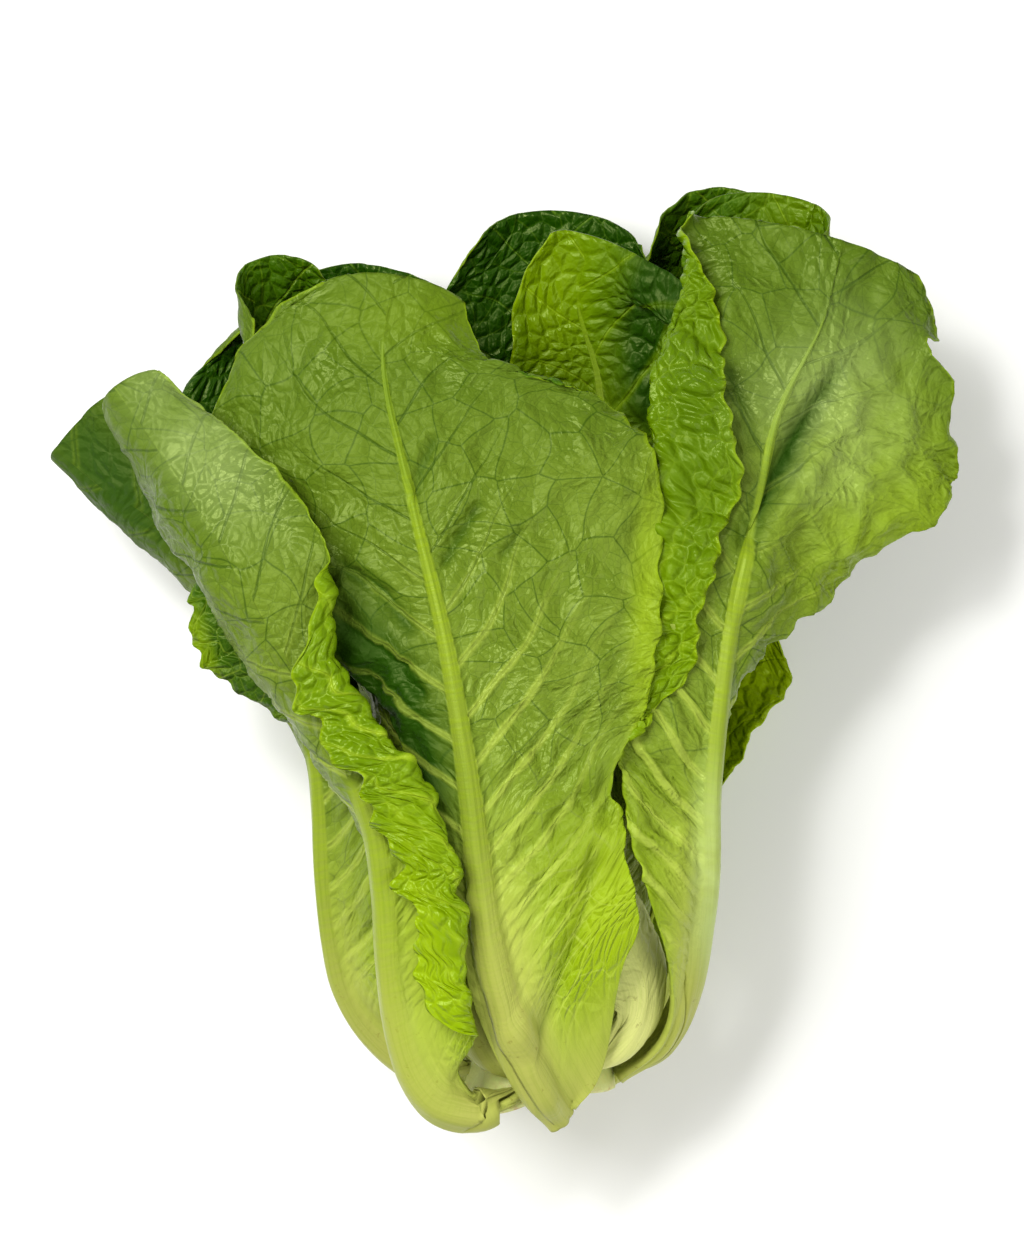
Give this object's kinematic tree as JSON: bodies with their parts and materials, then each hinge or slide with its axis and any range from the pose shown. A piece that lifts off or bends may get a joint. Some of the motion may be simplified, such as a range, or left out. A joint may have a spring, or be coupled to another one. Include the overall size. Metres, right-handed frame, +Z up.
{
  "type": "romaine lettuce head",
  "caption": "Whole head of romaine lettuce lying on its back, its long ribbed leaves gathered round a short cut stem, fanned out and curled at the tips.",
  "frame": {"origin": "centre of the head's footprint, on the surface that it lies on", "axes": "+Y from the cut stem to the leaf tips, along the head's length; +Z up, through its thickness; +X to its right"},
  "size_m": [0.2724, 0.2844, 0.1137],
  "materials": {
    "outer_leaf": "fresh lettuce leaf: waxy, softly shining yellow green with pale veins",
    "back_leaf": "fresh lettuce leaf: darker green with pale veins",
    "inner_leaf": "young lettuce leaf: pale yellow green",
    "stem": "cut lettuce stem: moist, creamy green"
  },
  "bodies": {
    "root": {"stem": "stem", "leaf_front": "outer_leaf", "leaf_left_upper": "outer_leaf", "leaf_left_lower": "outer_leaf", "leaf_right": "outer_leaf", "leaf_front_right": "outer_leaf", "leaf_front_inner": "inner_leaf", "leaf_left_inner": "inner_leaf", "leaf_back_inner": "back_leaf", "leaf_back_right_upper": "back_leaf", "leaf_back_right": "back_leaf", "leaf_back_middle": "back_leaf", "leaf_back_left": "back_leaf", "leaf_back_left_upper": "back_leaf", "leaf_left_under": "back_leaf", "leaf_right_under": "back_leaf", "leaf_heart_1": "inner_leaf", "leaf_heart_2": "inner_leaf", "leaf_heart_3": "inner_leaf", "leaf_heart_4": "inner_leaf", "leaf_heart_5": "inner_leaf"}
  },
  "joints": []
}
